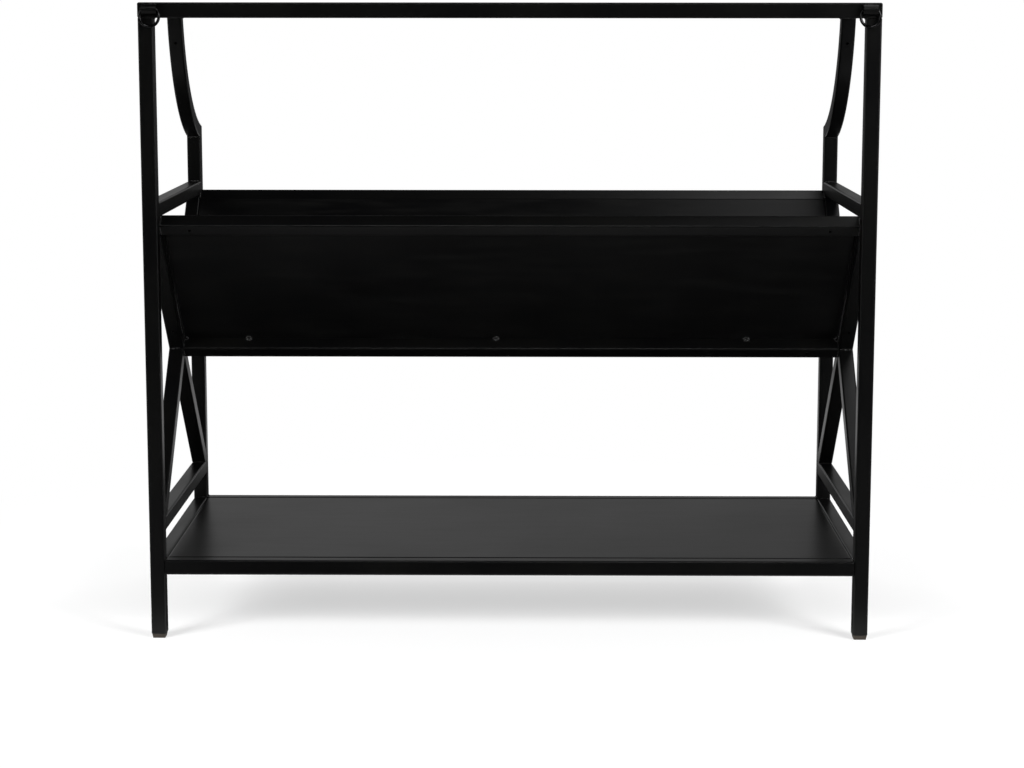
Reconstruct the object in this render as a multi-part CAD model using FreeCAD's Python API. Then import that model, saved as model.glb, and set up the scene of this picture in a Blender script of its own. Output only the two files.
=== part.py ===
import FreeCAD, Part
import math
import os

# Welded steel library bookcase: a square-tube frame that carries a V-shaped book trough
# between a bottom shelf and a shallower top shelf. Units are millimetres.
# X runs along the case, +Y from the ring side to the side with the curved arms, +Z is up.
# The origin is on the floor, under the middle of the case.

# Overall sizes
case_width = 1200.0
case_depth = 550.0
case_height = 1054.0
top_depth = 338.0

# Square steel tube
tube_size = 25.0
tube_wall = 1.5
tube_corner = 3.0

# Levels above the floor
shelf_level = 134.0
lower_rail_level = 205.0

# Clear height between the upper side rails and the top frame
top_bay_height = 299.0

# Curved arms, on their centre line
arm_radius = 285.0
arm_height = 207.5

# Book trough: how far its long rails lie from the window's corners, along the braces
front_rail_inset = 19.8
rear_rail_inset = 9.2
trough_panel_recess = 0.5
trough_flange = 12.0

# Sheet panels
sheet_thickness = 1.2
bend_radius = 4.0
shelf_flange = 16.0

# Vent holes that let the coating drain
vent_diameter = 5.0
front_rail_vent_from_end = 48.0
keel_vent_from_end = 55.0
brace_vent_from_crossing = 61.0
arm_vent_below_top = 44.0

# Foot glides pushed into the ends of the posts
glide_size = 23.0
glide_height = 8.0
glide_taper = 1.5
glide_stem_height = 16.0
glide_stem_clearance = 0.1

# Wire rings and the keepers that hold them
ring_radius = 15.6
ring_wire = 4.8
ring_from_end = 20.0
keeper_width = 24.0
keeper_sheet = 1.5
keeper_clearance = 0.5
keeper_tail = 4.5

# Worked-out sizes of the ring and its keeper: the ring's top arc turns inside a half-round barrel
ring_outer = ring_radius + ring_wire / 2
ring_inner = ring_radius - ring_wire / 2
arc_low = math.sqrt(ring_inner ** 2 - (keeper_width / 2) ** 2)
hinge_above_ring = (ring_outer + arc_low) / 2
barrel_inner = (ring_outer - arc_low) / 2 + keeper_clearance
barrel_outer = barrel_inner + keeper_sheet
keeper_reach = barrel_inner + barrel_outer

# Worked-out planes of the frame
half_tube = tube_size / 2
outer_x = case_width / 2
inner_x = outer_x - tube_size
front_y = -(case_depth - keeper_reach) / 2
rear_y = front_y + case_depth
window_front = front_y + tube_size
window_rear = rear_y - tube_size
top_rail_bottom = case_height - tube_size
window_bottom = lower_rail_level
window_top = top_rail_bottom - top_bay_height - tube_size
rear_post_level = top_rail_bottom - arm_height
top_rear_y = front_y + top_depth
hinge_y = front_y - barrel_inner
hinge_z = case_height - tube_corner - barrel_outer
ring_x = outer_x - ring_from_end

# Worked-out directions of the braces, from corner to corner of the end window
window_depth = window_rear - window_front
window_height = window_top - window_bottom
window_diagonal = math.hypot(window_depth, window_height)
slope_y = window_depth / window_diagonal
slope_z = window_height / window_diagonal
brace_angle = math.degrees(math.atan2(window_height, window_depth))
crossing_y = (window_front + window_rear) / 2
crossing_z = (window_bottom + window_top) / 2

X_AXIS = FreeCAD.Vector(1, 0, 0)
Z_AXIS = FreeCAD.Vector(0, 0, 1)
KEEL_TURN = 45.0
# How far cutting blocks reach past the pieces that they trim
over = case_width


def rounded_square(size, corner):
    """Closed outline of a square with round corners, centred on the origin in the XY plane."""
    half = size / 2
    flat = half - corner
    bow = flat + corner / math.sqrt(2)
    edges = []
    for turn in range(4):
        start = FreeCAD.Vector(-flat, half, 0)
        end = FreeCAD.Vector(flat, half, 0)
        middle = FreeCAD.Vector(bow, bow, 0)
        corner_end = FreeCAD.Vector(half, flat, 0)
        spin = FreeCAD.Rotation(Z_AXIS, -90.0 * turn)
        start, end, middle, corner_end = [spin.multVec(v) for v in (start, end, middle, corner_end)]
        edges.append(Part.LineSegment(start, end).toShape())
        edges.append(Part.Arc(end, middle, corner_end).toShape())
    return Part.Wire(edges)


def tube_section(hollow):
    """Face across the tube, open inside or filled for use as a cutter."""
    outline = Part.Face(rounded_square(tube_size, tube_corner))
    if not hollow:
        return outline
    bore = Part.Face(rounded_square(tube_size - 2 * tube_wall, tube_corner - tube_wall))
    return outline.cut(bore).Faces[0]


def straight_tube(start, end, turn=0.0, hollow=True):
    """Square tube between two points of its centre line, turned about that line."""
    run = end.sub(start)
    bar = tube_section(hollow).extrude(FreeCAD.Vector(0, 0, run.Length))
    bar.rotate(FreeCAD.Vector(0, 0, 0), Z_AXIS, turn)
    aim = FreeCAD.Rotation(Z_AXIS, run)
    bar.Placement = FreeCAD.Placement(start, aim).multiply(bar.Placement)
    return bar


def block(low, high):
    """Box between two opposite corners."""
    size = [b - a for a, b in zip(low, high)]
    return Part.makeBox(size[0], size[1], size[2], FreeCAD.Vector(*low))


def prism_along_z(points, low, high):
    """Upright prism over a plan outline."""
    corners = [FreeCAD.Vector(x, y, low) for x, y in points]
    return Part.Face(Part.makePolygon(corners + corners[:1])).extrude(FreeCAD.Vector(0, 0, high - low))


def half_space(point, normal):
    """Large block that fills the side of a plane that its normal points to. The plane contains X."""
    slab = block((-over, -over, 0), (over, over, over))
    slab.Placement = FreeCAD.Placement(point, FreeCAD.Rotation(Z_AXIS, normal))
    return slab


def drill(point, direction):
    """Cutter for a vent hole through one wall of a tube, centred on its outer face."""
    reach = 2 * tube_wall
    return Part.makeCylinder(vent_diameter / 2, 2 * reach, point - direction * reach, direction)


def mirrored(piece):
    """Same piece for the other end of the case."""
    return piece.mirror(FreeCAD.Vector(0, 0, 0), X_AXIS)


def folded_pan(low, high):
    """Sheet panel with all four edges folded down, between two corners."""
    pan = block(low, high)
    inside_low = (low[0] + sheet_thickness, low[1] + sheet_thickness, low[2] - sheet_thickness)
    inside_high = (high[0] - sheet_thickness, high[1] - sheet_thickness, high[2] - sheet_thickness)
    inside = block(inside_low, inside_high)
    pan = pan.makeFillet(bend_radius, [e for e in pan.Edges if e.BoundBox.ZMax > high[2] - sheet_thickness])
    inner_bend = bend_radius - sheet_thickness
    upper = [e for e in inside.Edges if e.BoundBox.ZMax > inside_high[2] - inner_bend]
    inside = inside.makeFillet(inner_bend, upper)
    return pan.cut(inside)


# End frames, built at the left end


def end_post(y, top):
    """Upright tube of an end frame, standing on its glide."""
    return straight_tube(FreeCAD.Vector(-inner_x - half_tube, y, glide_height),
                         FreeCAD.Vector(-inner_x - half_tube, y, top))


def side_rail(level):
    """Tube between the two posts of an end frame, with its top face at a level."""
    return straight_tube(FreeCAD.Vector(-inner_x - half_tube, window_front, level - half_tube),
                         FreeCAD.Vector(-inner_x - half_tube, window_rear, level - half_tube))


def arm_joint():
    """Arc centre, foot point and mitre direction of the curved arm, in the end frame's plane."""
    plane_x = -inner_x - half_tube
    head = FreeCAD.Vector(plane_x, top_rear_y - half_tube, top_rail_bottom)
    foot = FreeCAD.Vector(plane_x, rear_y - half_tube, rear_post_level)
    chord = foot.sub(head)
    rise = math.sqrt(arm_radius ** 2 - (chord.Length / 2) ** 2)
    away = FreeCAD.Vector(0, -chord.z, chord.y).normalize()
    centre = (head + foot) * 0.5 + away * rise
    spoke = foot.sub(centre).normalize()
    along_arm = FreeCAD.Vector(0, spoke.z, -spoke.y)
    mitre = (along_arm + Z_AXIS).normalize()
    return centre, foot, mitre


def curved_arm():
    """Bent tube from the top frame's rear corner down to the rear post, with its vent hole."""
    centre, foot, mitre = arm_joint()
    section = tube_section(True)
    section.translate(FreeCAD.Vector(0, -arm_radius, 0))
    section.translate(centre)
    arm = section.revolve(centre, X_AXIS, 90.0)
    arm = arm.common(half_space(foot, mitre))
    arm = arm.cut(half_space(FreeCAD.Vector(0, 0, top_rail_bottom), Z_AXIS))
    vent_radius = arm_radius + half_tube
    vent_z = top_rail_bottom - arm_vent_below_top
    drop = centre.z - vent_z
    vent_at = FreeCAD.Vector(centre.x, centre.y - math.sqrt(vent_radius ** 2 - drop ** 2), vent_z)
    return arm.cut(drill(vent_at, vent_at.sub(centre).normalize()))


def rear_post():
    """Rear upright, mitred where the curved arm lands on it."""
    centre, foot, mitre = arm_joint()
    post = end_post(rear_y - half_tube, rear_post_level + tube_size)
    return post.cut(half_space(foot, mitre))


def brace(start, end, hollow=True):
    """Tube on a diagonal of the end window, longer than the window."""
    step = end.sub(start).normalize() * tube_size
    return straight_tube(start - step, end + step, 0.0, hollow)


def window_block():
    """Space between the posts and the side rails of the left end frame."""
    return block((-outer_x - tube_size, window_front, window_bottom),
                 (-inner_x + tube_size, window_rear, window_top))


def window_corner(y, z):
    """Corner of the end window, on the mid plane of the end frame."""
    return FreeCAD.Vector(-inner_x - half_tube, y, z)


def long_brace():
    """Continuous diagonal, pointed at both ends, with a vent in its underside."""
    upper = window_corner(window_front, window_top)
    lower = window_corner(window_rear, window_bottom)
    bar = brace(upper, lower).common(window_block())
    outward = FreeCAD.Vector(0, -slope_z, -slope_y)
    middle = window_corner(crossing_y, crossing_z)
    vent_at = middle + FreeCAD.Vector(0, -slope_y, slope_z) * brace_vent_from_crossing
    return bar.cut(drill(vent_at + outward * half_tube, outward))


def short_braces():
    """Upper and lower halves of the other diagonal, cut to sit on the long brace."""
    upper = window_corner(window_rear, window_top)
    lower = window_corner(window_front, window_bottom)
    bar = brace(upper, lower).common(window_block())
    other = brace(window_corner(window_front, window_top), window_corner(window_rear, window_bottom), False)
    halves = sorted(bar.cut(other).Solids, key=lambda s: s.CenterOfMass.z)
    return halves[1], halves[0]


# Long rails and shelves


def long_rail(y, level):
    """Tube along the case between the end frames, with its top face at a level."""
    return straight_tube(FreeCAD.Vector(-inner_x, y, level - half_tube),
                         FreeCAD.Vector(inner_x, y, level - half_tube))


def top_frame():
    """Four tubes mitred into a flat frame: front, rear and left rails."""
    z = case_height - half_tube
    corners = [(-outer_x, front_y), (outer_x, front_y), (outer_x, top_rear_y), (-outer_x, top_rear_y)]
    inner = [(-inner_x, front_y + tube_size), (inner_x, front_y + tube_size),
             (inner_x, top_rear_y - tube_size), (-inner_x, top_rear_y - tube_size)]
    runs = {
        "front": ((-outer_x, front_y + half_tube), (outer_x, front_y + half_tube), 0, 1),
        "rear": ((-outer_x, top_rear_y - half_tube), (outer_x, top_rear_y - half_tube), 3, 2),
        "left": ((-inner_x - half_tube, front_y), (-inner_x - half_tube, top_rear_y), 0, 3),
    }
    rails = {}
    for name, (start, end, first, second) in runs.items():
        bar = straight_tube(FreeCAD.Vector(*start, z), FreeCAD.Vector(*end, z))
        plan = [corners[first], corners[second], inner[second], inner[first]]
        rails[name] = bar.common(prism_along_z(plan, top_rail_bottom - tube_size, case_height + tube_size))
    return rails


def shelf_pan(rear_face, level):
    """Folded sheet shelf, flush with the long rails and side rails that it fills."""
    return folded_pan((-inner_x, front_y + tube_size, level - shelf_flange),
                      (inner_x, rear_face - tube_size, level))


# Book trough


def rail_centre(corner_y, inset, towards):
    """Centre of a trough rail on the brace line, at a distance from the window's upper corner."""
    return corner_y + towards * slope_y * inset, window_top - slope_z * inset


def trough_rail(y, z, turn, vent_from_end=None, hollow=True):
    """Long rail of the trough, turned on edge, with vents in its forward-down face."""
    bar = straight_tube(FreeCAD.Vector(-inner_x, y, z), FreeCAD.Vector(inner_x, y, z), turn, hollow)
    if vent_from_end is None:
        return bar
    face = FreeCAD.Vector(0, -1, -1).normalize()
    for x in (vent_from_end - inner_x, inner_x - vent_from_end):
        bar = bar.cut(drill(FreeCAD.Vector(x, y, z) + face * half_tube, face))
    return bar


def folded_strip_section(width, depth):
    """Face across a sheet whose two long edges are folded down, top face at zero height."""
    half = width / 2
    inner_bend = bend_radius - sheet_thickness

    def arc(cx, cz, radius, first, last):
        angles = [math.radians(a) for a in (first, (first + last) / 2, last)]
        return Part.Arc(*[FreeCAD.Vector(cx + radius * math.cos(a), 0, cz + radius * math.sin(a))
                          for a in angles]).toShape()

    def line(x0, z0, x1, z1):
        return Part.LineSegment(FreeCAD.Vector(x0, 0, z0), FreeCAD.Vector(x1, 0, z1)).toShape()

    bend_x = half - bend_radius
    wall_x = half - sheet_thickness
    edges = [
        line(-bend_x, 0, bend_x, 0),
        arc(bend_x, -bend_radius, bend_radius, 90, 0),
        line(half, -bend_radius, half, -depth),
        line(half, -depth, wall_x, -depth),
        line(wall_x, -depth, wall_x, -bend_radius),
        arc(bend_x, -bend_radius, inner_bend, 0, 90),
        line(bend_x, -sheet_thickness, -bend_x, -sheet_thickness),
        arc(-bend_x, -bend_radius, inner_bend, 90, 180),
        line(-wall_x, -bend_radius, -wall_x, -depth),
        line(-wall_x, -depth, -half, -depth),
        line(-half, -depth, -half, -bend_radius),
        arc(-bend_x, -bend_radius, bend_radius, 180, 90),
    ]
    return Part.Face(Part.Wire(edges))


def trough_panel(rail_y, rail_z, rail_turn, side):
    """Sheet of the V from a top rail to the middle of the keel, its ends folded along the braces."""
    run = math.hypot(crossing_y - rail_y, crossing_z - rail_z)
    panel = folded_strip_section(2 * inner_x, trough_flange).extrude(FreeCAD.Vector(0, side * run, 0))
    panel.translate(FreeCAD.Vector(0, 0, half_tube - trough_panel_recess))
    panel.rotate(FreeCAD.Vector(0, 0, 0), X_AXIS, -side * brace_angle)
    panel.translate(FreeCAD.Vector(0, rail_y, rail_z))
    panel = panel.cut(trough_rail(rail_y, rail_z, rail_turn, hollow=False))
    panel = panel.cut(trough_rail(crossing_y, crossing_z, KEEL_TURN, hollow=False))
    panel = panel.cut(half_space(FreeCAD.Vector(0, crossing_y, crossing_z), FreeCAD.Vector(0, side, 0)))
    return max(panel.Solids, key=lambda s: s.Volume)


# Small pieces


def foot_glide(y):
    """Square plastic foot with a stem that fills the end of a post."""
    x = -inner_x - half_tube
    half = glide_size / 2
    base = half - glide_taper
    low = Part.makePolygon([FreeCAD.Vector(sx * base, sy * base, 0)
                            for sx, sy in ((-1, -1), (1, -1), (1, 1), (-1, 1), (-1, -1))])
    high = Part.makePolygon([FreeCAD.Vector(sx * half, sy * half, glide_height)
                             for sx, sy in ((-1, -1), (1, -1), (1, 1), (-1, 1), (-1, -1))])
    pad = Part.makeLoft([low, high], True)
    stem_size = tube_size - 2 * tube_wall - 2 * glide_stem_clearance
    stem = Part.Face(rounded_square(stem_size, tube_corner - tube_wall))
    stem = stem.extrude(FreeCAD.Vector(0, 0, glide_stem_height))
    stem.translate(FreeCAD.Vector(0, 0, glide_height))
    glide = pad.fuse(stem).removeSplitter()
    glide.translate(FreeCAD.Vector(x, y, 0))
    return glide


def ring_keeper():
    """Strap bent over the top of a ring and welded to the front of the top rail."""
    x = -ring_x - keeper_width / 2
    far_x = x + keeper_width
    axis_end = FreeCAD.Vector(x, hinge_y, hinge_z)
    front_half = block((x, hinge_y - barrel_outer, hinge_z - barrel_outer),
                       (far_x, hinge_y, hinge_z + barrel_outer))
    bow = Part.makeCylinder(barrel_outer, keeper_width, axis_end, X_AXIS).common(front_half)
    legs = block((x, hinge_y, hinge_z - barrel_outer), (far_x, front_y, hinge_z + barrel_outer))
    tail = block((x, front_y - keeper_sheet, hinge_z - barrel_outer - keeper_tail),
                 (far_x, front_y, hinge_z - barrel_inner))
    throat = Part.makeCylinder(barrel_inner, keeper_width, axis_end, X_AXIS)
    gap = block((x, hinge_y, hinge_z - barrel_inner), (far_x, front_y, hinge_z + barrel_inner))
    return bow.fuse([legs, tail]).cut(throat.fuse(gap)).removeSplitter()


def wire_ring():
    """Round wire ring, hanging in its keeper."""
    return Part.makeTorus(ring_radius, ring_wire / 2,
                          FreeCAD.Vector(-ring_x, hinge_y, hinge_z - hinge_above_ring),
                          FreeCAD.Vector(0, 1, 0))


def build():
    """All pieces of the bookcase, by name."""
    front_post_y = front_y + half_tube
    rear_post_y = rear_y - half_tube
    top_rails = top_frame()
    upper_brace, lower_brace = short_braces()
    front_rail = rail_centre(window_front, front_rail_inset, 1)
    rear_rail = rail_centre(window_rear, rear_rail_inset, -1)

    end_pieces = {
        "front_upright": end_post(front_post_y, top_rail_bottom),
        "rear_upright": rear_post(),
        "curved_arm": curved_arm(),
        "top_side_rail": top_rails["left"],
        "upper_side_rail": side_rail(window_top + tube_size),
        "lower_side_rail": side_rail(window_bottom),
        "shelf_side_rail": side_rail(shelf_level),
        "brace_long": long_brace(),
        "brace_upper": upper_brace,
        "brace_lower": lower_brace,
        "front_foot_glide": foot_glide(front_post_y),
        "rear_foot_glide": foot_glide(rear_post_y),
        "ring_keeper": ring_keeper(),
        "wire_ring": wire_ring(),
    }
    pieces = {
        "top_front_rail": top_rails["front"],
        "top_rear_rail": top_rails["rear"],
        "top_shelf_panel": shelf_pan(top_rear_y, case_height),
        "shelf_front_rail": long_rail(front_post_y, shelf_level),
        "shelf_rear_rail": long_rail(rear_post_y, shelf_level),
        "shelf_panel": shelf_pan(rear_y, shelf_level),
        "trough_front_rail": trough_rail(*front_rail, brace_angle, front_rail_vent_from_end),
        "trough_rear_rail": trough_rail(*rear_rail, brace_angle),
        "trough_keel": trough_rail(crossing_y, crossing_z, KEEL_TURN, keel_vent_from_end),
        "trough_front_panel": trough_panel(*front_rail, brace_angle, 1),
        "trough_rear_panel": trough_panel(*rear_rail, brace_angle, -1),
    }
    for name, piece in end_pieces.items():
        pieces[name + "_left"] = piece
        pieces[name + "_right"] = mirrored(piece)
    return pieces


os.makedirs("parts", exist_ok=True)
for node, shape in build().items():
    shape.exportStep(os.path.join("parts", node + ".step"))
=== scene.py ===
"""Looks of the steel library bookcase: satin black paint, welds, black wire rings and a plain studio.

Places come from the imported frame, and sizes from the fields of each class. Lengths are metres.
"""

import logging
import math
import random
from collections.abc import Iterable
from dataclasses import dataclass, replace
from enum import Enum

import bmesh
import bpy
from mathutils import Matrix, Vector


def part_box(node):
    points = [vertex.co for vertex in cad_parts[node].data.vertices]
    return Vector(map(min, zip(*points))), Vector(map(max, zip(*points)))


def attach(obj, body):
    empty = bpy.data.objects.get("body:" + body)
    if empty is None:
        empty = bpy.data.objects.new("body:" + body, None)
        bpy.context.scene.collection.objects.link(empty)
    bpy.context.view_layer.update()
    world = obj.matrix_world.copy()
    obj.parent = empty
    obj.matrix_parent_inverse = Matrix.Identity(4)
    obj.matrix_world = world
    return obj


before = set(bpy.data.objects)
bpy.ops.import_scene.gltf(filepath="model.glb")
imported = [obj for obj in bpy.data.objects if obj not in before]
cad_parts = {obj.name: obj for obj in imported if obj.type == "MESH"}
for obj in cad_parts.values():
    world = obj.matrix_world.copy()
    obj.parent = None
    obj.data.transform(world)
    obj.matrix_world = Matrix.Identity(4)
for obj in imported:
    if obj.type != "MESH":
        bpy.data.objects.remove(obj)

LOG = logging.getLogger("bookcase")
CASE_BODY = "case"
X_AXIS = Vector((1.0, 0.0, 0.0))

# Points of a mesh that are nearer than this become one
MERGE_REACH = 1e-6

# Two directions whose dot product is larger than this count as one
SAME_WAY = 0.9

# Places of a Mix node's two values and of its result among its sockets
MIX_SOCKETS = {"FLOAT": (2, 3, 0), "RGBA": (6, 7, 2)}

# Finer layers of the coat skin's noises, and the part of each noise that is spread from 0 to 1
GRAIN_DETAIL = 2.0
CLOUD_DETAIL = 3.0
CLOUD_CONTRAST = (0.32, 0.68)
MARK_DETAIL = 4.0
MARK_CONTRAST = (0.40, 0.72)

Pair = tuple[float, float]
Colour = tuple[float, float, float]
Stops = tuple[Pair, ...]
Tree = bpy.types.NodeTree
Socket = bpy.types.NodeSocket
Source = Socket | float | tuple[float, ...]


class End(Enum):
    """The two ends of the case."""

    LEFT = -1
    RIGHT = 1

    @property
    def label(self) -> str:
        """Word that ends the names of this end's nodes."""
        return self.name.lower()

    def node(self, piece: str) -> str:
        """Name of this end's copy of a piece.

        Args:
            piece: Name of the piece, without its end.

        Returns:
            Name of the node.
        """
        return f"{piece}_{self.label}"


class Slot(Enum):
    """Material slots of the record."""

    PAINT = "black_painted_steel"
    PLASTIC = "foot_plastic"
    WIRE = "black_wire"


class Run(Enum):
    """Which way the faint rub marks of a finish run, as a stretch of the pattern's coordinates."""

    ALONG_X = (0.12, 1.0, 1.0)
    ALONG_Y = (1.0, 0.12, 1.0)
    ALONG_Z = (1.0, 1.0, 0.12)
    NONE = (1.0, 1.0, 1.0)


def add_node(tree: Tree, kind: str, **settings: object) -> bpy.types.Node:
    """Add a node and set its properties.

    Args:
        tree: Node tree that gets the node.
        kind: Blender's name of the node type.
        **settings: Properties to set on it.

    Returns:
        The new node.
    """
    made = tree.nodes.new(kind)
    for key, value in settings.items():
        setattr(made, key, value)
    return made


def plug(tree: Tree, source: Source, target: Socket) -> None:
    """Link a socket to an input, or give the input a fixed value.

    Args:
        tree: Node tree of both.
        source: Socket, number or colour.
        target: Input that gets it.
    """
    if isinstance(source, Socket):
        tree.links.new(source, target)
    else:
        target.default_value = source


def add_maths(tree: Tree, operation: str, *sources: Source) -> Socket:
    """Join numbers by one operation.

    Args:
        tree: Node tree that gets the node.
        operation: Blender's name of the operation.
        *sources: Sockets or numbers, in the operation's order.

    Returns:
        Socket with the result.
    """
    made = add_node(tree, "ShaderNodeMath", operation=operation)
    for source, target in zip(sources, made.inputs):
        plug(tree, source, target)
    return made.outputs[0]


def add_mix(tree: Tree, kind: str, share: Source, first: Source, last: Source) -> Socket:
    """Blend two numbers or two colours.

    Args:
        tree: Node tree that gets the node.
        kind: FLOAT for numbers and RGBA for colours.
        share: Socket or number that is 0 at the first value and 1 at the last.
        first: Socket or value.
        last: Socket or value.

    Returns:
        Socket with the blend.
    """
    made = add_node(tree, "ShaderNodeMix", data_type=kind)
    low, high, result = MIX_SOCKETS[kind]
    for source, place in ((share, 0), (first, low), (last, high)):
        plug(tree, source, made.inputs[place])
    return made.outputs[result]


def add_spread(tree: Tree, source: Socket, reach: Pair, levels: Pair = (0.0, 1.0),
               curve: str = "SMOOTHSTEP") -> Socket:
    """Turn a number that runs over a reach into one that runs between two levels.

    Args:
        tree: Node tree that gets the node.
        source: Socket with the number.
        reach: Values of the number where the change begins and ends.
        levels: Results there.
        curve: Blender's name of the kind of change.

    Returns:
        Socket with the result.
    """
    made = add_node(tree, "ShaderNodeMapRange", interpolation_type=curve)
    for name, value in zip(("From Min", "From Max", "To Min", "To Max"), (*reach, *levels)):
        made.inputs[name].default_value = value
    tree.links.new(source, made.inputs["Value"])
    return made.outputs["Result"]


def add_ramp(tree: Tree, source: Socket, stops: Stops) -> Socket:
    """Give the level of the sky at a height, or of the floor at a depth.

    Args:
        tree: Node tree of the world or the floor.
        source: Height or depth, from 0 to 1.
        stops: Heights or depths, and the levels there.

    Returns:
        Socket with the level.
    """
    made = add_node(tree, "ShaderNodeValToRGB")
    marks = made.color_ramp.elements
    for position, _ in stops[1:-1]:
        marks.new(position)
    for mark, (_, level) in zip(marks, stops):
        mark.color = (level, level, level, 1.0)
    tree.links.new(source, made.inputs["Fac"])
    return made.outputs["Color"]


def directly_seen(tree: Tree) -> Socket:
    """Tell what the camera sees from what lights or mirrors in the case.

    Args:
        tree: Node tree of the world or the floor.

    Returns:
        Socket that is 1 for the camera's rays, also those through clear surfaces, and 0 for others.
    """
    rays = add_node(tree, "ShaderNodeLightPath").outputs
    return add_maths(tree, "MAXIMUM", rays["Is Camera Ray"], rays["Is Transmission Ray"])


def coat_skin_group() -> Tree:
    """Build the skin that every coated or moulded surface shares.

    Returns:
        Group that turns coordinates into a fine height, broad clouds and rub marks.
    """
    tree = bpy.data.node_groups.new("coat_skin", "ShaderNodeTree")
    for name in ("Vector", "Stretched"):
        tree.interface.new_socket(name, in_out="INPUT", socket_type="NodeSocketVector")
    for name in ("Grain Scale", "Cloud Scale", "Mark Scale"):
        tree.interface.new_socket(name, in_out="INPUT", socket_type="NodeSocketFloat")
    for name in ("Height", "Clouds", "Marks"):
        tree.interface.new_socket(name, in_out="OUTPUT", socket_type="NodeSocketFloat")
    given = tree.nodes.new("NodeGroupInput").outputs
    results = tree.nodes.new("NodeGroupOutput").inputs
    layers = (("Height", "Vector", "Grain Scale", GRAIN_DETAIL, None),
              ("Clouds", "Vector", "Cloud Scale", CLOUD_DETAIL, CLOUD_CONTRAST),
              ("Marks", "Stretched", "Mark Scale", MARK_DETAIL, MARK_CONTRAST))
    for result, place, scale, detail, contrast in layers:
        noise = add_node(tree, "ShaderNodeTexNoise")
        noise.inputs["Detail"].default_value = detail
        tree.links.new(given[place], noise.inputs["Vector"])
        tree.links.new(given[scale], noise.inputs["Scale"])
        level = noise.outputs["Fac"]
        tree.links.new(add_spread(tree, level, contrast) if contrast else level, results[result])
    return tree


COAT_SKIN = coat_skin_group()


@dataclass(frozen=True)
class Finish:
    """A surface finish made of a shader and the shared coat skin.

    Attributes:
        name: Word that begins the material's name.
        slot: Material slot of the record. Not used.
        colour: Base colour.
        cloud_colour: Base colour in the clouds and streaks.
        roughness: Roughness of the plain surface.
        cloud_roughness: Roughness that the clouds add.
        mark_roughness: Roughness that the rub marks add.
        grain_scale: Scale of the fine grain.
        grain_height: Height of the grain.
        cloud_scale: Scale of the clouds.
        mark_scale: Scale of the rub marks.
        metallic: Share of metal in the shader.
        streaks: Share of the marks in the colour, the rest of which follows the clouds.
        gloss: Level of the shader's mirror layer.
        run: Way that the rub marks run.
    """

    name: str
    slot: Slot
    colour: Colour
    cloud_colour: Colour
    roughness: float
    cloud_roughness: float
    mark_roughness: float
    grain_scale: float
    grain_height: float
    cloud_scale: float = 7.0
    mark_scale: float = 60.0
    metallic: float = 0.0
    streaks: float = 0.0
    gloss: float = 0.5
    run: Run = Run.NONE

    def material(self) -> bpy.types.Material:
        """Build the material, or give the one that was built before.

        Returns:
            Blender material of this finish.
        """
        label = f"{self.name}_{self.run.name.lower()}"
        if label in bpy.data.materials:
            return bpy.data.materials[label]
        made = bpy.data.materials.new(label)
        made.use_nodes = True
        tree = made.node_tree
        skin = self._skin(tree).outputs
        patches = add_mix(tree, "FLOAT", self.streaks, skin["Clouds"], skin["Marks"])
        tint = add_mix(tree, "RGBA", patches, (*self.colour, 1.0), (*self.cloud_colour, 1.0))
        clouded = add_maths(tree, "MULTIPLY_ADD", skin["Clouds"], self.cloud_roughness, self.roughness)
        marked = add_maths(tree, "MULTIPLY_ADD", skin["Marks"], self.mark_roughness, clouded)
        bump = add_node(tree, "ShaderNodeBump")
        for name, source in (("Strength", 1.0), ("Distance", self.grain_height), ("Height", skin["Height"])):
            plug(tree, source, bump.inputs[name])
        shader = tree.nodes["Principled BSDF"]
        for name, source in (("Metallic", self.metallic), ("Specular IOR Level", self.gloss),
                             ("Base Color", tint), ("Roughness", marked), ("Normal", bump.outputs["Normal"])):
            plug(tree, source, shader.inputs[name])
        return made

    def _skin(self, tree: Tree) -> bpy.types.Node:
        """Place the coat skin in a material, with this finish's scales.

        Args:
            tree: Node tree of the material.

        Returns:
            The group node.
        """
        place = add_node(tree, "ShaderNodeTexCoord")
        stretch = add_node(tree, "ShaderNodeMapping")
        stretch.inputs["Scale"].default_value = self.run.value
        skin = add_node(tree, "ShaderNodeGroup", node_tree=COAT_SKIN)
        for name, value in (("Grain Scale", self.grain_scale), ("Cloud Scale", self.cloud_scale),
                            ("Mark Scale", self.mark_scale)):
            skin.inputs[name].default_value = value
        tree.links.new(place.outputs["Object"], skin.inputs["Vector"])
        tree.links.new(place.outputs["Object"], stretch.inputs["Vector"])
        tree.links.new(stretch.outputs["Vector"], skin.inputs["Stretched"])
        return skin

    def dress(self, nodes: Iterable[str]) -> None:
        """Give this finish to nodes of the frame.

        Args:
            nodes: Names of the nodes.
        """
        for name in nodes:
            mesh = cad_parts[name].data
            mesh.materials.clear()
            mesh.materials.append(self.material())
            LOG.info("%s: %s", name, self.name)


def satin_black(run: Run) -> Finish:
    """Satin black coat of the tubes.

    Args:
        run: Way that its rub marks run.

    Returns:
        The finish.
    """
    return Finish("satin_black", Slot.PAINT, (0.0008, 0.0008, 0.0009), (0.0013, 0.0013, 0.0012),
                  roughness=0.31, cloud_roughness=0.03, mark_roughness=0.02, grain_scale=900.0,
                  grain_height=0.000008, run=run)


# The sheets wear the same black coat as the tubes. Both colours are lighter than the tubes' paint: painted
# light that lifts the down-facing trough sheet. The streaked pattern between the two colours is the coat's
# own mottling.
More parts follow.
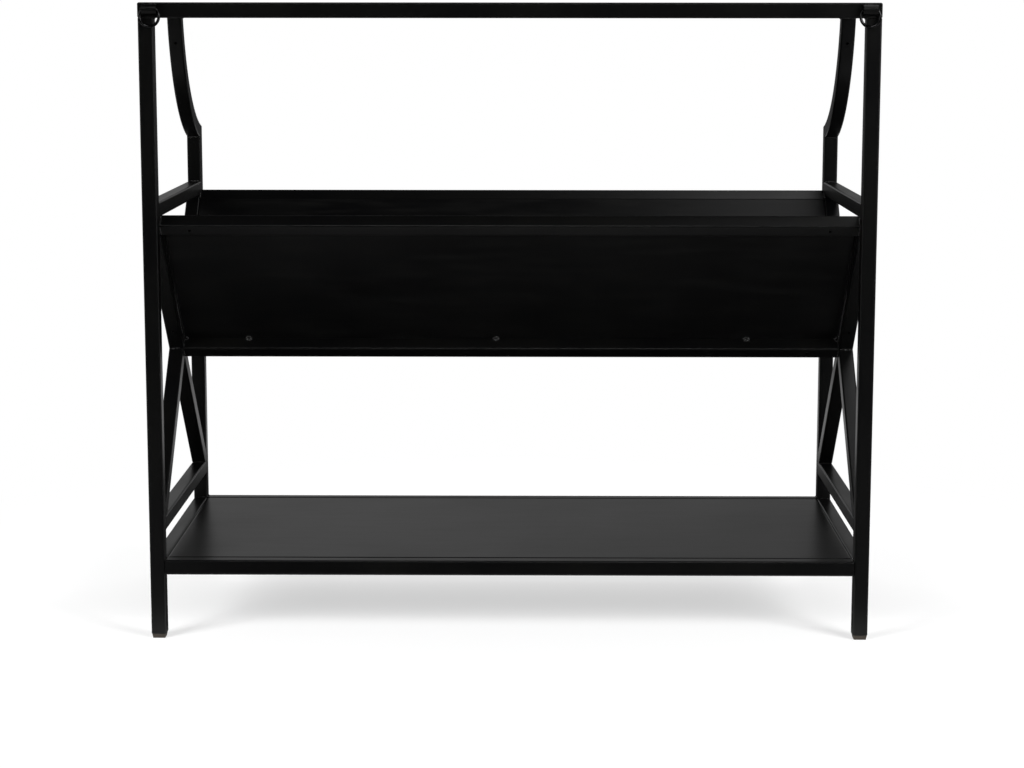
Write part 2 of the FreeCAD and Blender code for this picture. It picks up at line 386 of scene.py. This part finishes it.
SHEET_BLACK_PAINTED_LIGHT = Finish("sheet_black", Slot.PAINT, (0.0011, 0.0011, 0.0012), (0.0034, 0.0034, 0.0033),
                     roughness=0.31, cloud_roughness=0.02, mark_roughness=0.015, grain_scale=800.0,
                     grain_height=0.000008, cloud_scale=4.0, mark_scale=80.0, streaks=0.7, run=Run.ALONG_X)
# The rear trough sheet wears the same coat, with the same painted light. Its weaker mirror layer is painted
# shade that darkens the reflections on it.
REAR_SHEET_PAINTED_LIGHT_AND_SHADE = replace(SHEET_BLACK_PAINTED_LIGHT, name="rear_sheet_black", gloss=0.24)
# Welds wear the same black coat as the tubes. Their lighter base colour is a painted highlight that brightens
# the glints on beads and tacks.
WELD_BLACK_PAINTED_GLINT = Finish("weld_black", Slot.PAINT, (0.0060, 0.0060, 0.0062), (0.0120, 0.0120, 0.0116),
                    roughness=0.18, cloud_roughness=0.08, mark_roughness=0.0, grain_scale=1400.0,
                    grain_height=0.00002, cloud_scale=40.0)
BLACK_WIRE = Finish("black_wire", Slot.WIRE, (0.085, 0.085, 0.088), (0.064, 0.064, 0.064),
                    roughness=0.13, cloud_roughness=0.06, mark_roughness=0.05, grain_scale=1800.0,
                    grain_height=0.000006, cloud_scale=120.0, mark_scale=500.0, metallic=1.0)
FOOT_PLASTIC = Finish("foot_plastic", Slot.PLASTIC, (0.026, 0.021, 0.016), (0.034, 0.028, 0.022),
                      roughness=0.48, cloud_roughness=0.10, mark_roughness=0.0, grain_scale=1500.0,
                      grain_height=0.00004, cloud_scale=60.0)


@dataclass
class WeldTorch:
    """Lays painted-over weld beads and tacks into a mesh of their own.

    Attributes:
        name: Name of the piece.
        radius: Radius of a bead.
        pitch: Length of one ripple.
        slant: Tilt of the ripples, in radians.
        hollow: Radius between two ripples, as a share.
        waver: Largest chance change of the radius, as a share.
        end_share: Radius at a bead's ends, as a share.
        end_rise: Gain of that share from the ends inwards, per length of the bead.
        segments: Corners of a bead's cross-section.
        tack_outline: Points of a tack's half section: distance from its middle and height, as shares.
        tack_turns: Steps of that section round the tack.
        tack_waver: Largest chance change of a tack's height, as a share.
        tack_stretch: Largest stretch of a tack along the case, as a share.
        seed: Number that starts the chance draws, with the name.
    """

    name: str
    radius: float = 0.0023
    pitch: float = 0.0017
    slant: float = 0.55
    hollow: float = 0.80
    waver: float = 0.10
    end_share: float = 0.45
    end_rise: float = 2.2
    segments: int = 10
    tack_outline: Stops = ((0.0, 0.36), (0.30, 0.44), (0.55, 1.0), (0.80, 0.72), (1.0, 0.0), (1.02, -0.6))
    tack_turns: int = 18
    tack_waver: float = 0.3
    tack_stretch: float = 0.3
    seed: int = 7

    def __post_init__(self) -> None:
        """Start the empty mesh and the bead's own chance."""
        self.bm = bmesh.new()
        self.chance = random.Random(f"{self.name}{self.seed}")

    def bead(self, start: Vector, end: Vector, thick: float = 1.0) -> None:
        """Lay a rippled bead on a straight line.

        Args:
            start: First point of the bead's middle line.
            end: Last point.
            thick: Share of the usual radius.
        """
        run = end - start
        steps = 2 * max(2, round(run.length / self.pitch))
        turn = run.to_track_quat("Z", "Y").to_matrix().to_4x4()
        tilt = Matrix.Rotation(self.slant, 4, "X")
        size = self.radius * thick * self.end_share
        ring = bmesh.ops.create_circle(self.bm, cap_ends=True, segments=self.segments, radius=size,
                                       matrix=Matrix.Translation(start) @ turn @ tilt)
        cap = ring["verts"][0].link_faces[0]
        for step in range(1, steps + 1):
            share = step / steps
            crown = min(1.0, self.end_share + self.end_rise * min(share, 1.0 - share))
            ripple = 1.0 if step % 2 else self.hollow
            uneven = 1.0 + self.waver * self.chance.uniform(-1.0, 1.0)
            wanted = self.radius * thick * crown * ripple * uneven
            grown = bmesh.ops.extrude_face_region(self.bm, geom=[cap])["geom"]
            verts = [item for item in grown if isinstance(item, bmesh.types.BMVert)]
            cap = next(item for item in grown if isinstance(item, bmesh.types.BMFace))
            bmesh.ops.translate(self.bm, vec=run / steps, verts=verts)
            centre = Matrix.Translation(-(start + run * share))
            bmesh.ops.scale(self.bm, vec=Vector.Fill(3, wanted / size), space=centre, verts=verts)
            size = wanted

    def stitches(self, start: Vector, end: Vector, count: int, length: float, thick: float = 0.85) -> None:
        """Lay short beads at even steps along a line.

        Args:
            start: First point of the line.
            end: Last point of the line.
            count: Number of beads.
            length: Length of each bead.
            thick: Share of the usual radius.
        """
        run = end - start
        half = run.normalized() * length / 2
        for step in range(count):
            middle = start + run * (step + 0.5) / count
            self.bead(middle - half, middle + half, thick)

    def tack(self, centre: Vector, normal: Vector, width: float, height: float) -> None:
        """Lay an uneven round tack with a sunken middle.

        Args:
            centre: Point of the surface under the tack.
            normal: Way that the surface faces.
            width: Width across.
            height: Height of the rim over the surface.
        """
        half = width / 2
        turn = normal.to_track_quat("Z", "Y").to_matrix().to_4x4()
        place = Matrix.Translation(centre) @ turn
        older = set(self.bm.verts)
        verts = [self.bm.verts.new(place @ Vector((r * half, 0.0, h * height))) for r, h in self.tack_outline]
        edges = [self.bm.edges.new(pair) for pair in zip(verts, verts[1:])]
        bmesh.ops.spin(self.bm, geom=verts + edges, cent=centre, axis=normal, angle=2 * math.pi,
                       steps=self.tack_turns, use_merge=True)
        newer = [vert for vert in self.bm.verts if vert not in older]
        for vert in newer:
            bump = self.tack_waver * self.chance.uniform(-1.0, 1.0) * (vert.co - centre).dot(normal)
            bmesh.ops.translate(self.bm, vec=normal * bump, verts=[vert])
        stretch = Vector((1.0 + self.tack_stretch * self.chance.random(), 1.0, 1.0))
        bmesh.ops.scale(self.bm, vec=stretch, space=Matrix.Translation(-centre), verts=newer)

    def piece(self, finish: Finish = WELD_BLACK_PAINTED_GLINT, body: str = CASE_BODY) -> None:
        """Turn the finished mesh into a piece that rides on a body.

        Args:
            finish: Finish of the piece.
            body: Body that it rides on.
        """
        bmesh.ops.remove_doubles(self.bm, verts=self.bm.verts, dist=MERGE_REACH)
        bmesh.ops.recalc_face_normals(self.bm, faces=self.bm.faces)
        for face in self.bm.faces:
            face.smooth = True
        mesh = bpy.data.meshes.new(self.name)
        self.bm.to_mesh(mesh)
        self.bm.free()
        mesh.materials.append(finish.material())
        piece = bpy.data.objects.new(self.name, mesh)
        bpy.context.scene.collection.objects.link(piece)
        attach(piece, body)
        LOG.info("%s: %d faces", self.name, len(mesh.polygons))


@dataclass
class Planes:
    """Planes of the frame that the joints lie on, read from the nodes' boxes.

    Attributes:
        edge: Reach of a tube's round corner, which beads keep clear of.
    """

    edge: float = 0.003

    def __post_init__(self) -> None:
        """Read the planes."""
        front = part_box("front_upright_right")
        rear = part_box("rear_upright_right")
        self.outer = front[1].x
        self.inner = front[0].x
        self.tube = self.outer - self.inner
        self.front = front[0].y
        self.window_front = front[1].y
        self.window_rear = rear[0].y
        self.rear = rear[1].y
        self.post_top = front[1].z
        self.window_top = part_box("upper_side_rail_right")[0].z
        self.window_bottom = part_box("lower_side_rail_right")[1].z
        self.half_diagonal = self.tube / math.sqrt(2.0)
        self.crossing = Vector((0.0, (self.window_front + self.window_rear) / 2,
                                (self.window_top + self.window_bottom) / 2))

    def across(self, end: End, y: float, z: float) -> tuple[Vector, Vector]:
        """Line across a tube of an end frame, from its outer to its inner side.

        Args:
            end: End of the case.
            y: Place of the line along the end frame.
            z: Height of the line.

        Returns:
            The line's two ends, clear of the tube's round corners.
        """
        side = end.value
        return (Vector((side * (self.outer - self.edge), y, z)),
                Vector((side * (self.inner + self.edge), y, z)))


class SubAssembly:
    """Some nodes of the case with one job, which are dressed and welded together."""

    def dress(self) -> None:
        """Give the nodes their finishes."""
        raise NotImplementedError

    def weld(self) -> None:
        """Lay the welds of the nodes, if they have any."""


@dataclass
class EndFrame(SubAssembly):
    """One end of the case: posts, side rails, braces and the curved arm, with their welds.

    Attributes:
        end: End of the case.
        planes: Planes of the frame.
        arm_foot_level: Height of the middle of the mitre between the curved arm and its post.
        crossing_thick: Share of a bead's usual radius where the braces cross.
        post_pieces: Pieces that run upwards.
        rail_pieces: Pieces that run from front to rear.
        brace_pieces: Diagonal pieces.
    """

    end: End
    planes: Planes
    arm_foot_level: float = 0.8215
    crossing_thick: float = 1.5
    post_pieces: tuple[str, ...] = ("front_upright", "rear_upright", "curved_arm")
    rail_pieces: tuple[str, ...] = ("upper_side_rail", "lower_side_rail", "shelf_side_rail")
    brace_pieces: tuple[str, ...] = ("brace_long", "brace_upper", "brace_lower")

    def dress(self) -> None:
        """Paint the tubes of this end."""
        satin_black(Run.ALONG_Z).dress(self.end.node(p) for p in self.post_pieces)
        satin_black(Run.ALONG_Y).dress(self.end.node(p) for p in self.rail_pieces)
        satin_black(Run.NONE).dress(self.end.node(p) for p in self.brace_pieces)

    def weld(self) -> None:
        """Lay the beads of this end's joints."""
        torch = WeldTorch(f"end_frame_welds_{self.end.label}")
        for y, z in self.rail_corners() + self.brace_corners() + self.arm_corners():
            torch.bead(*self.planes.across(self.end, y, z))
        for y, z in self.crossing_corners():
            torch.bead(*self.planes.across(self.end, y, z), self.crossing_thick)
        torch.piece()

    def rail_corners(self) -> list[tuple[float, float]]:
        """Open corners between the side rails and the posts.

        Returns:
            Place along Y and height of each corner.
        """
        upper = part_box(self.end.node("upper_side_rail"))[1].z
        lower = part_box(self.end.node("lower_side_rail"))[0].z
        shelf_low, shelf_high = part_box(self.end.node("shelf_side_rail"))
        levels = (upper, lower, shelf_low.z, shelf_high.z)
        return [(y, z) for y in (self.planes.window_front, self.planes.window_rear) for z in levels]

    def brace_corners(self) -> list[tuple[float, float]]:
        """Corners at the braces' pointed ends.

        Returns:
            Place along Y and height of each corner.
        """
        planes = self.planes
        half = planes.half_diagonal
        corners = []
        for y, inward in ((planes.window_front, 1), (planes.window_rear, -1)):
            for z, away in ((planes.window_top, -1), (planes.window_bottom, 1)):
                corners += [(y + inward * half, z), (y, z + away * half)]
        return corners

    def crossing_corners(self) -> list[tuple[float, float]]:
        """Corners where the short braces sit on the long one.

        Returns:
            Place along Y and height of each corner.
        """
        middle = self.planes.crossing
        half = self.planes.half_diagonal
        return [(middle.y + half * y, middle.z + half * z) for y, z in ((-1, 0), (1, 0), (0, -1), (0, 1))]

    def arm_corners(self) -> list[tuple[float, float]]:
        """Corners at the head and the mitred foot of the curved arm, and on top of the front post.

        Returns:
            Place along Y and height of each corner.
        """
        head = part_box(self.end.node("curved_arm"))
        mitre_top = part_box(self.end.node("rear_upright"))[1].z
        return [(self.planes.window_rear, 2 * self.arm_foot_level - mitre_top), (self.planes.rear, mitre_top),
                (head[0].y, self.planes.post_top), (self.planes.window_front, self.planes.post_top)]


@dataclass
class ShelfFrame(SubAssembly):
    """A flat shelf: two long rails, the sheet between them, and the welds under it.

    Attributes:
        label: Word that begins the name of the welds.
        planes: Planes of the frame.
        rails: Long rails.
        side_rails: Short rails that are painted with this shelf.
        panel: Sheet.
        stitch: Length of a stitch.
        long_stitches: Stitches along each long edge of the sheet.
        side_stitches: Stitches along each short edge.
    """

    label: str
    planes: Planes
    rails: tuple[str, ...]
    side_rails: tuple[str, ...]
    panel: str
    stitch: float = 0.026
    long_stitches: int = 6
    side_stitches: int = 2

    def dress(self) -> None:
        """Paint the rails and the sheet."""
        satin_black(Run.ALONG_X).dress(self.rails)
        satin_black(Run.ALONG_Y).dress(self.side_rails)
        SHEET_BLACK_PAINTED_LIGHT.dress([self.panel])

    def weld(self) -> None:
        """Lay beads at the rails' ends, and short stitches under the folds of the sheet."""
        torch = WeldTorch(f"{self.label}_welds")
        for rail in self.rails:
            for line in self.rail_ends(rail):
                torch.bead(*line)
        low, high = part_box(self.panel)
        for y in (low.y, high.y):
            torch.stitches(Vector((low.x, y, low.z)), Vector((high.x, y, low.z)), self.long_stitches,
                           self.stitch)
        for x in (low.x, high.x):
            torch.stitches(Vector((x, low.y, low.z)), Vector((x, high.y, low.z)), self.side_stitches,
                           self.stitch)
        torch.piece()

    def rail_ends(self, rail: str) -> list[tuple[Vector, Vector]]:
        """Corners over and under a long rail, where it meets the posts' inner sides.

        Args:
            rail: Name of the rail.

        Returns:
            Two ends of each corner line.
        """
        low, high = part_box(rail)
        edge = self.planes.edge
        levels = (low.z,) if high.z > self.planes.post_top else (low.z, high.z)
        return [(Vector((end.value * self.planes.inner, low.y + edge, z)),
                 Vector((end.value * self.planes.inner, high.y - edge, z))) for end in End for z in levels]


@dataclass
class BookTrough(SubAssembly):
    """V-shaped trough for the books: two upper rails, the keel and the sheets between them.

    Attributes:
        planes: Planes of the frame.
        panel_recess: Step from the face of a tube to the sheet beside it.
        sheet: Thickness of the sheets.
        flange: Depth of their folded ends.
        flush: Share of a bead's usual radius where a tube is flush with a brace.
        fold_run: Ends of the bead on a fold, as shares of the slope from rail to keel.
        fold_thick: Share of a bead's usual radius on a fold.
        tack_places: Places along the case of the tacks between sheet and keel.
        tack_width: Width of a tack.
        tack_height: Height of a tack.
    """

    planes: Planes
    panel_recess: float = 0.0005
    sheet: float = 0.0012
    flange: float = 0.012
    flush: float = 0.8
    fold_run: Pair = (0.52, 0.94)
    fold_thick: float = 0.6
    tack_places: tuple[float, ...] = (-0.574, -0.461, -0.026, 0.414, 0.574)
    tack_width: float = 0.0125
    tack_height: float = 0.0050

    def dress(self) -> None:
        """Paint the rails and the sheets."""
        satin_black(Run.ALONG_X).dress(["trough_front_rail", "trough_rear_rail", "trough_keel"])
        SHEET_BLACK_PAINTED_LIGHT.dress(["trough_front_panel"])
        REAR_SHEET_PAINTED_LIGHT_AND_SHADE.dress(["trough_rear_panel"])

    def weld(self) -> None:
        """Lay the beads at the tubes' ends, and the tacks of the sheets."""
        torch = WeldTorch("trough_welds")
        keel = self.planes.crossing
        for end in End:
            self.ring_of_beads(torch, end, keel, None)
        for rail, up in (("trough_front_rail", -1), ("trough_rear_rail", 1)):
            low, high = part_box(rail)
            centre = Vector((0.0, (low.y + high.y) / 2, (low.z + high.z) / 2))
            outward = Vector((0.0, up, 1.0)).normalized()
            inward = Vector((0.0, -up, 1.0)).normalized()
            for end in End:
                self.ring_of_beads(torch, end, centre, outward)
                self.fold_bead(torch, end, centre, inward)
            for x in self.tack_places:
                depth = self.planes.tube / 2 - self.panel_recess - self.sheet
                corner = keel + outward * self.planes.tube / 2 + inward * depth + X_AXIS * x
                torch.tack(corner, Vector((0.0, up, 0.0)), self.tack_width, self.tack_height)
        torch.piece()

    def ring_of_beads(self, torch: WeldTorch, end: End, centre: Vector, proud: Vector | None) -> None:
        """Weld the end of a trough tube to an end frame, all round.

        Args:
            torch: Torch that lays the beads.
            end: End of the case.
            centre: Point of the tube's middle line.
            proud: Way that the side with a full fillet faces. The other sides are flush with a brace.
        """
        half = self.planes.tube / 2
        reach = half - self.planes.edge
        for y, z in ((-1, 1), (1, 1), (-1, -1), (1, -1)):
            face = Vector((0.0, y, z)).normalized()
            along = Vector((0.0, -z, y)).normalized() * reach
            middle = centre + face * half + X_AXIS * end.value * self.planes.inner
            full = proud is not None and face.dot(proud) > SAME_WAY
            torch.bead(middle - along, middle + along, 1.0 if full else self.flush)

    def fold_bead(self, torch: WeldTorch, end: End, rail: Vector, inward: Vector) -> None:
        """Weld a sheet's folded end to the brace beside it, over the lower part of its slope.

        Args:
            torch: Torch that lays the bead.
            end: End of the case.
            rail: Point of the upper rail's middle line.
            inward: Way that the sheet faces, into the trough.
        """
        edge = inward * (self.planes.tube / 2 - self.panel_recess - self.flange)
        side = X_AXIS * end.value * (self.planes.inner - self.sheet / 2)
        slope = self.planes.crossing - rail
        first, last = (rail + edge + side + slope * share for share in self.fold_run)
        torch.bead(first, last, self.fold_thick)


@dataclass
class RingFitting(SubAssembly):
    """Wire ring and the strap that holds it on the top rail.

    Attributes:
        end: End of the case.
        planes: Planes of the frame.
        margin: Distance from the beads' ends to the keeper's sides.
        bead_radius: Radius of the beads.
    """

    end: End
    planes: Planes
    margin: float = 0.002
    bead_radius: float = 0.0018

    def dress(self) -> None:
        """Paint the keeper and coat the ring."""
        satin_black(Run.NONE).dress([self.end.node("ring_keeper")])
        BLACK_WIRE.dress([self.end.node("wire_ring")])

    def weld(self) -> None:
        """Lay a bead over the keeper and one under its tail."""
        low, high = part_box(self.end.node("ring_keeper"))
        torch = WeldTorch(f"ring_keeper_welds_{self.end.label}", radius=self.bead_radius)
        for z in (low.z, high.z):
            torch.bead(Vector((low.x + self.margin, self.planes.front, z)),
                       Vector((high.x - self.margin, self.planes.front, z)))
        torch.piece(satin_black(Run.NONE))


@dataclass
class FootGlides(SubAssembly):
    """Plastic feet in the two posts of one end.

    Attributes:
        end: End of the case.
        pieces: Pieces of plastic.
    """

    end: End
    pieces: tuple[str, ...] = ("front_foot_glide", "rear_foot_glide")

    def dress(self) -> None:
        """Give the feet their plastic."""
        FOOT_PLASTIC.dress(self.end.node(p) for p in self.pieces)


@dataclass(frozen=True)
class Softbox:
    """A large soft lamp, with a level of its own in reflections.

    Attributes:
        name: Word that begins the names of its two lights.
        place: Middle of the lamp.
        aim: Point that it faces.
        size: Width and height.
        matt_watts: Power of the light that shows on matt surfaces.
        glint_watts: Power of the light that shows in reflections.
        gap: Distance between the two lights.
    """

    name: str
    place: Vector
    aim: Vector
    size: Pair
    matt_watts: float
    glint_watts: float
    gap: float = 0.03

    def hang(self) -> None:
        """Put the lamp in the scene, once for matt light and once for reflections."""
        if self.matt_watts:
            self._lamp("matt", self.matt_watts, 0.0).visible_glossy = False
        if self.glint_watts:
            self._lamp("glint", self.glint_watts, self.gap).visible_diffuse = False

    def _lamp(self, kind: str, watts: float, ahead: float) -> bpy.types.Object:
        """Add one rectangle of light.

        Args:
            kind: Word that ends the lamp's name.
            watts: Power of the lamp.
            ahead: How far it stands from the lamp's place towards the case.

        Returns:
            The lamp.
        """
        data = bpy.data.lights.new(f"{self.name}_{kind}", "AREA")
        data.shape = "RECTANGLE"
        data.size, data.size_y = self.size
        data.energy = watts
        lamp = bpy.data.objects.new(data.name, data)
        beam = (self.aim - self.place).normalized()
        turn = beam.to_track_quat("-Z", "Y").to_matrix().to_4x4()
        lamp.matrix_world = Matrix.Translation(self.place + beam * ahead) @ turn
        bpy.context.scene.collection.objects.link(lamp)
        return lamp


@dataclass
class Studio:
    """Pale floor, soft light, white background and the photograph's camera.

    Floor and sky show levels of their own in reflections, which give the black paint its tones.

    Attributes:
        camera_x: Place of the camera along the case.
        camera_ahead: Distance of the camera in front of the case.
        camera_height: Height of the camera.
        pitch: Angle that it looks down.
        yaw: Angle that it looks to the right.
        roll: Angle that it leans over.
        focal_pixels: Focal length, in pixels of the picture.
        image_width: Width of the picture in pixels.
        sensor: Width of the sensor in millimetres.
        floor_reach: Half the width of the floor.
        floor_cells: Cells along each side of its mesh.
        floor_colour: Colour of its matt part.
        floor_glow: Share of its glowing part beside the case.
        floor_fade: Distances between which that share grows to 1.
        pool_fade: Distances between which the mirrored pools fade.
        pool_reach: Distances sideways between which their level changes.
        pool_levels: Their levels in the middle and past the ends of the case.
        mirror_depth: Half the depth of the floor that mirror_floor and post_floor cover.
        mirror_floor: Levels of the mirrored bands, from front to rear.
        mirror_reach: Distances sideways between which the bands weaken.
        mirror_levels: Shares of the bands in the middle and at the ends.
        post_floor: Levels of the mirrored strips by the posts, from front to rear.
        post_reach: Distances sideways between which the strips begin.
        sky_sides: Shares of the sky to the left and to the right.
        sky_reach: How far sideways a direction points where those shares are reached.
        sky_turn: How far to the rear directions point between which the sky changes.
        sky_behind: Levels of the sky behind the case, from the horizon up.
        sky_flanks: Levels of the sky past the ends of the case.
        flank_reach: How far sideways directions point between which the sky past the ends begins.
        sky_ahead: Levels of the sky in front of the case.
        lamps: Soft lamps.
    """

    camera_x: float = 0.03706
    camera_ahead: float = 3.87354
    camera_height: float = 1.03377
    pitch: float = math.radians(8.8166)
    yaw: float = math.radians(-0.4802)
    roll: float = math.radians(0.0389)
    focal_pixels: float = 2377.9
    image_width: int = 1024
    sensor: float = 36.0
    floor_reach: float = 9.0
    floor_cells: int = 4
    floor_colour: Colour = (0.88, 0.88, 0.88)
    floor_glow: float = 0.555
    floor_fade: Pair = (0.62, 1.4)
    pool_fade: Pair = (1.2, 3.6)
    pool_reach: Pair = (0.85, 1.5)
    pool_levels: Pair = (0.01, 0.30)
    mirror_depth: float = 4.0
    mirror_floor: Stops = ((0.0, 0.0), (0.445, 0.0), (0.4525, 0.8), (0.46625, 0.8), (0.475, 0.05),
                           (0.65, 0.02), (0.71, 0.60), (0.80, 0.60), (0.93, 0.06), (1.0, 0.04))
    mirror_reach: Pair = (0.45, 0.65)
    mirror_levels: Pair = (1.0, 0.5)
    post_floor: Stops = ((0.0, 0.0), (0.17, 0.02), (0.24, 0.08), (0.30, 0.14), (0.36, 0.15), (0.41, 0.12),
                         (0.445, 0.09), (0.46, 0.0), (1.0, 0.0))
    post_reach: Pair = (0.56, 0.66)
    sky_sides: Pair = (1.08, 0.74)
    sky_reach: float = 0.25
    sky_turn: Pair = (-0.2, 0.6)
    sky_behind: Stops = ((0.0, 0.10), (0.06, 0.20), (0.12, 0.46), (0.22, 0.38), (0.29, 0.31), (0.36, 0.08),
                         (0.5, 0.01), (1.0, 0.01))
    sky_flanks: Stops = ((0.0, 0.34), (0.15, 0.36), (0.45, 0.26), (0.8, 0.04), (1.0, 0.01))
    flank_reach: Pair = (0.45, 0.85)
    sky_ahead: Stops = ((0.0, 0.003), (0.1, 0.003), (0.3, 0.02), (0.6, 0.02), (1.0, 0.01))
    lamps: tuple[Softbox, ...] = (
        Softbox("softbox_left", Vector((-2.6, -2.6, 1.75)), Vector((0.0, 0.0, 0.3)), (1.6, 1.2),
                matt_watts=183.0, glint_watts=1.5),
        Softbox("softbox_right", Vector((2.6, -2.6, 1.75)), Vector((0.0, 0.0, 0.3)), (1.6, 1.2),
                matt_watts=183.0, glint_watts=20.0),
        Softbox("softbox_above", Vector((1.15, -0.02, 3.2)), Vector((1.15, -0.02, 0.0)), (1.2, 1.25),
                matt_watts=4.0, glint_watts=7.0),
        Softbox("softbox_front", Vector((0.0, -3.4, 3.6)), Vector((0.0, -0.25, 0.7)), (1.8, 0.5),
                matt_watts=0.0, glint_watts=16.0),
        Softbox("softbox_behind", Vector((0.0, 3.0, 1.3)), Vector((0.0, 0.0, 0.2)), (4.0, 2.0),
                matt_watts=148.0, glint_watts=0.0),
    )

    def build(self, planes: Planes) -> None:
        """Make the floor, the lights and the camera.

        Args:
            planes: Planes of the case, which place the camera.
        """
        self._floor()
        self._world()
        for lamp in self.lamps:
            lamp.hang()
        self._camera(planes)
        bpy.context.scene.view_settings.view_transform = "Standard"

    def _camera(self, planes: Planes) -> None:
        """Stand the camera where the photograph was taken.

        Args:
            planes: Planes of the case. The camera's distance counts from the front one.
        """
        data = bpy.data.cameras.new("camera")
        data.sensor_width = self.sensor
        data.lens = self.sensor * self.focal_pixels / self.image_width
        ahead = Vector((math.sin(self.yaw) * math.cos(self.pitch), math.cos(self.yaw) * math.cos(self.pitch),
                        -math.sin(self.pitch)))
        level = Vector((math.cos(self.yaw), -math.sin(self.yaw), 0.0))
        upright = level.cross(ahead)
        right = math.cos(self.roll) * level + math.sin(self.roll) * upright
        up = right.cross(ahead)
        camera = bpy.data.objects.new("camera", data)
        turn = Matrix((right, up, -ahead)).transposed().to_4x4()
        place = Vector((self.camera_x, planes.front - self.camera_ahead, self.camera_height))
        camera.matrix_world = Matrix.Translation(place) @ turn
        bpy.context.scene.collection.objects.link(camera)
        bpy.context.scene.camera = camera

    def _floor(self) -> None:
        """Lay the pale floor, which keeps the case's shadow and is white elsewhere."""
        bm = bmesh.new()
        bmesh.ops.create_grid(bm, x_segments=self.floor_cells, y_segments=self.floor_cells,
                              size=self.floor_reach)
        mesh = bpy.data.meshes.new("floor")
        bm.to_mesh(mesh)
        bm.free()
        floor = bpy.data.objects.new("floor", mesh)
        bpy.context.scene.collection.objects.link(floor)
        mesh.materials.append(self._floor_material())

    def _floor_material(self) -> bpy.types.Material:
        """Make the floor matt beside the case and glowing further out, with levels of its own in reflections.

        Returns:
            Material of the floor.
        """
        made = bpy.data.materials.new("floor")
        made.use_nodes = True
        tree = made.node_tree
        tree.nodes.remove(tree.nodes["Principled BSDF"])
        matt = add_node(tree, "ShaderNodeBsdfDiffuse")
        matt.inputs["Color"].default_value = (*self.floor_colour, 1.0)
        glow = add_node(tree, "ShaderNodeEmission")
        mixed = add_node(tree, "ShaderNodeMixShader")
        place = add_node(tree, "ShaderNodeTexCoord").outputs["Object"]
        away = add_node(tree, "ShaderNodeVectorMath", operation="LENGTH")
        tree.links.new(place, away.inputs[0])
        distance = away.outputs["Value"]
        mirrored = add_node(tree, "ShaderNodeLightPath").outputs["Is Glossy Ray"]
        glowing = add_spread(tree, distance, self.floor_fade, (self.floor_glow, 1.0))
        lit = add_maths(tree, "MULTIPLY", glowing, directly_seen(tree))
        share = add_maths(tree, "MAXIMUM", lit, mirrored)
        level = add_mix(tree, "FLOAT", mirrored, 1.0, self._mirrored_floor(tree, place, distance))
        tree.links.new(level, glow.inputs["Strength"])
        for source, target in zip((share, matt.outputs[0], glow.outputs[0]), mixed.inputs):
            tree.links.new(source, target)
        tree.links.new(mixed.outputs[0], tree.nodes["Material Output"].inputs["Surface"])
        return made

    def _mirrored_floor(self, tree: Tree, place: Socket, distance: Socket) -> Socket:
        """Give the floor's level in reflections: pools beside the case, bands along it, strips by the posts.

        Args:
            tree: Node tree of the floor.
            place: Socket with the point of the floor.
            distance: Socket with its distance from the middle.

        Returns:
            Socket with the level.
        """
        axes = add_node(tree, "ShaderNodeSeparateXYZ")
        tree.links.new(place, axes.inputs[0])
        sideways = add_maths(tree, "ABSOLUTE", axes.outputs["X"])
        depth = add_spread(tree, axes.outputs["Y"], (-self.mirror_depth, self.mirror_depth), curve="LINEAR")
        pools = add_maths(tree, "MULTIPLY", add_spread(tree, distance, self.pool_fade, (1.0, 0.0)),
                          add_spread(tree, sideways, self.pool_reach, self.pool_levels))
        bands = add_maths(tree, "MULTIPLY", add_ramp(tree, depth, self.mirror_floor),
                          add_spread(tree, sideways, self.mirror_reach, self.mirror_levels))
        strips = add_maths(tree, "MULTIPLY", add_ramp(tree, depth, self.post_floor),
                           add_spread(tree, sideways, self.post_reach))
        return add_maths(tree, "MAXIMUM", add_maths(tree, "MAXIMUM", pools, bands), strips)

    def _world(self) -> None:
        """Light the case from a dim dome, in front of a background that is white to the camera."""
        world = bpy.data.worlds.new("studio")
        bpy.context.scene.world = world
        world.use_nodes = True
        tree = world.node_tree
        back = tree.nodes["Background"]
        back.inputs["Color"].default_value = (1.0, 1.0, 1.0, 1.0)
        axes = add_node(tree, "ShaderNodeSeparateXYZ")
        tree.links.new(add_node(tree, "ShaderNodeTexCoord").outputs["Generated"], axes.inputs[0])
        across, along, height = axes.outputs
        sky = add_mix(tree, "FLOAT", add_spread(tree, along, self.sky_turn),
                      add_ramp(tree, height, self.sky_ahead), add_ramp(tree, height, self.sky_behind))
        sides = add_spread(tree, across, (-self.sky_reach, self.sky_reach), self.sky_sides)
        flanks = add_spread(tree, add_maths(tree, "ABSOLUTE", across), self.flank_reach)
        dome = add_mix(tree, "FLOAT", flanks, add_maths(tree, "MULTIPLY", sky, sides),
                       add_ramp(tree, height, self.sky_flanks))
        level = add_mix(tree, "FLOAT", directly_seen(tree), dome, 1.0)
        tree.links.new(level, back.inputs["Strength"])


def main() -> None:
    """Dress the frame, add the welds, and set up the studio."""
    logging.basicConfig(level=logging.INFO, format="%(message)s")
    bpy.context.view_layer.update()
    planes = Planes()
    parts: list[SubAssembly] = []
    for end in End:
        parts += [EndFrame(end, planes), RingFitting(end, planes), FootGlides(end)]
    parts.append(ShelfFrame("top_frame", planes, ("top_front_rail", "top_rear_rail"),
                            tuple(end.node("top_side_rail") for end in End), "top_shelf_panel"))
    parts.append(ShelfFrame("bottom_shelf", planes, ("shelf_front_rail", "shelf_rear_rail"), (),
                            "shelf_panel"))
    parts.append(BookTrough(planes))
    for part in parts:
        part.dress()
        part.weld()
    Studio().build(planes)


if __name__ == "__main__":
    main()
